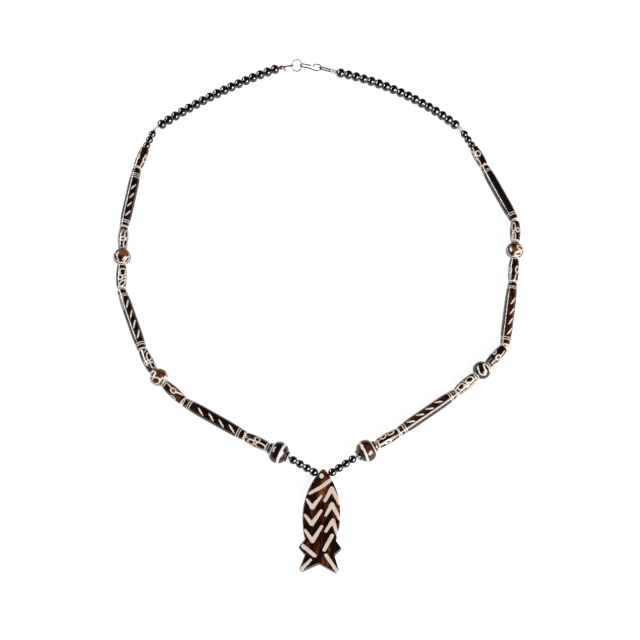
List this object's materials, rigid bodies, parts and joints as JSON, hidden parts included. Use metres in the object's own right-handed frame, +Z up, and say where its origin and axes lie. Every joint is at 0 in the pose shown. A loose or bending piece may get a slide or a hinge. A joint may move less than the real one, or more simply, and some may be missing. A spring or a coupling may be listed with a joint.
{
  "type": "bone bead necklace with fish pendant",
  "caption": "Necklace of dyed bone tube, barrel and round beads and glossy black beads, with a flat fish pendant and a hook and ring clasp, laid out in an open loop.",
  "frame": {"origin": "middle of the necklace's bounding box, on the surface that it lies on", "axes": "+Y from the fish pendant to the clasp, +X to the wearer's right-hand strand as seen from above, +Z up from the surface"},
  "size_m": [0.1886, 0.2517, 0.0098],
  "materials": {
    "fish_bone": "polished bone, dyed black-brown with cream resist strokes",
    "bead_bone": "polished bone, dyed black-brown with cream resist lines",
    "round_bone": "polished bone, dyed amber and black-brown with cream resist lines",
    "black_bead": "mirror-glossy black",
    "clear_bead": "clear, glossy",
    "red_bead": "glossy red-brown",
    "thread": "twisted olive-brown thread, waxed",
    "clasp_wire": "worn grey plating over brown base metal"
  },
  "bodies": {
    "root": {"clasp_hook": "clasp_wire", "clasp_ring": "clasp_wire", "fish_pendant": "fish_bone", "left_back_beads": "black_bead", "left_barrel_bead_1": "bead_bone", "left_barrel_bead_2": "bead_bone", "left_barrel_bead_3": "bead_bone", "left_barrel_bead_4": "bead_bone", "left_barrel_bead_5": "bead_bone", "left_barrel_bead_6": "bead_bone", "left_clear_bead": "clear_bead", "left_end_bead": "red_bead", "left_front_beads": "black_bead", "left_large_round_bead": "round_bone", "left_round_bead_1": "round_bone", "left_round_bead_2": "round_bone", "left_tube_bead_1": "bead_bone", "left_tube_bead_2": "bead_bone", "left_tube_bead_3": "bead_bone", "left_upper_beads": "black_bead", "right_back_beads": "black_bead", "right_barrel_bead_1": "bead_bone", "right_barrel_bead_2": "bead_bone", "right_barrel_bead_3": "bead_bone", "right_barrel_bead_4": "bead_bone", "right_barrel_bead_5": "bead_bone", "right_barrel_bead_6": "bead_bone", "right_clear_bead": "clear_bead", "right_end_bead": "clear_bead", "right_front_beads": "black_bead", "right_large_round_bead": "round_bone", "right_round_bead_1": "round_bone", "right_round_bead_2": "round_bone", "right_tube_bead_1": "bead_bone", "right_tube_bead_2": "bead_bone", "right_tube_bead_3": "bead_bone", "right_upper_beads": "black_bead", "thread": "thread"}
  },
  "joints": []
}
